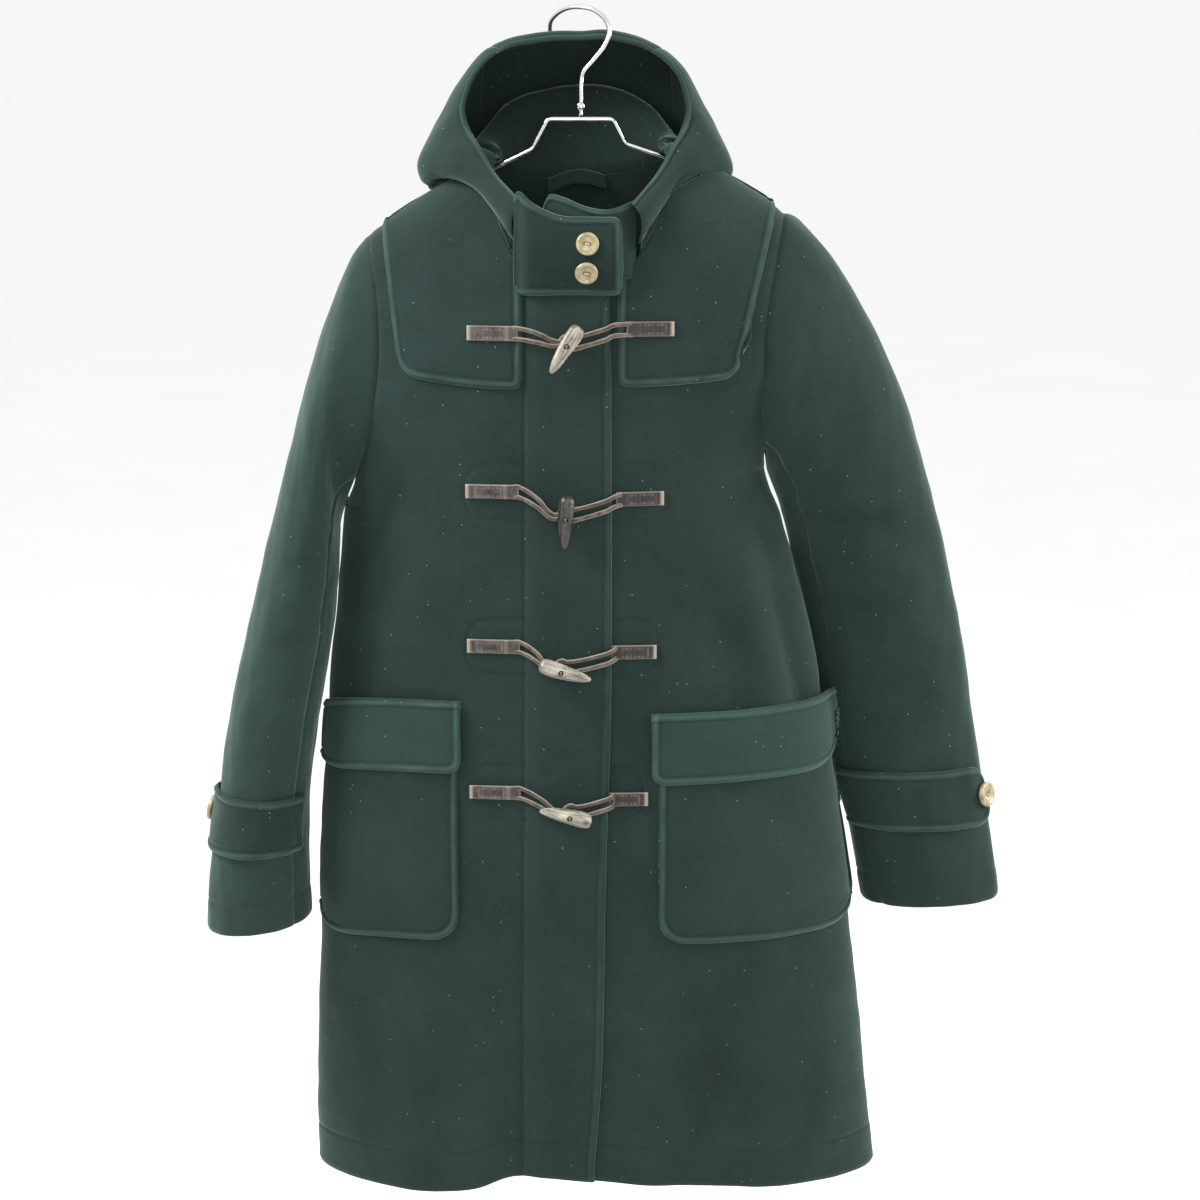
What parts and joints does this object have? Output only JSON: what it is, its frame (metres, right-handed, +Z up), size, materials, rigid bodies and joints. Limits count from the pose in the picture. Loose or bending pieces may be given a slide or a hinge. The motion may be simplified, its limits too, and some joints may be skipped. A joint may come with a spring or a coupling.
{
  "type": "duffle coat on a hanger",
  "caption": "Hooded wool duffle coat, buttoned up with horn toggles, patch pockets and cuff straps, hung on a wire hanger.",
  "frame": {"origin": "inside top of the hanger's hook, where it bears on a rail", "axes": "+Z up, -Y out of the coat's front, +X to the wearer's left"},
  "size_m": [0.745, 0.2124, 1.0892],
  "materials": {
    "melton": "napped wool melton, bottle green",
    "button": "polished, olive tan",
    "horn": "worn horn, grey ivory",
    "dark_horn": "worn horn, nearly black",
    "leather": "worn, grey brown",
    "steel": "bright plated wire"
  },
  "bodies": {
    "root": {"back": "melton", "front_right": "melton", "front_left": "melton", "sleeve_top_right": "melton", "sleeve_under_right": "melton", "sleeve_top_left": "melton", "sleeve_under_left": "melton", "cuff_strap_right": "melton", "cuff_strap_left": "melton", "cuff_button_right": "button", "cuff_button_left": "button", "yoke_front_right": "melton", "yoke_front_left": "melton", "yoke_back": "melton", "hood_side_right": "melton", "hood_side_left": "melton", "hood_centre": "melton", "neck_band_right": "melton", "neck_band_left": "melton", "throat_tab": "melton", "under_tab": "melton", "tab_button_upper": "button", "tab_button_lower": "button", "pocket_right": "melton", "pocket_left": "melton", "pocket_flap_right": "melton", "pocket_flap_left": "melton", "toggle_1": "horn", "toggle_2": "dark_horn", "toggle_3": "horn", "toggle_4": "horn", "toggle_cord_1": "leather", "toggle_cord_2": "leather", "toggle_cord_3": "leather", "toggle_cord_4": "leather", "toggle_loop_1": "leather", "toggle_loop_2": "leather", "toggle_loop_3": "leather", "toggle_loop_4": "leather", "hanging_loop": "melton", "hanger_hook": "steel", "hanger_frame": "steel"}
  },
  "joints": []
}
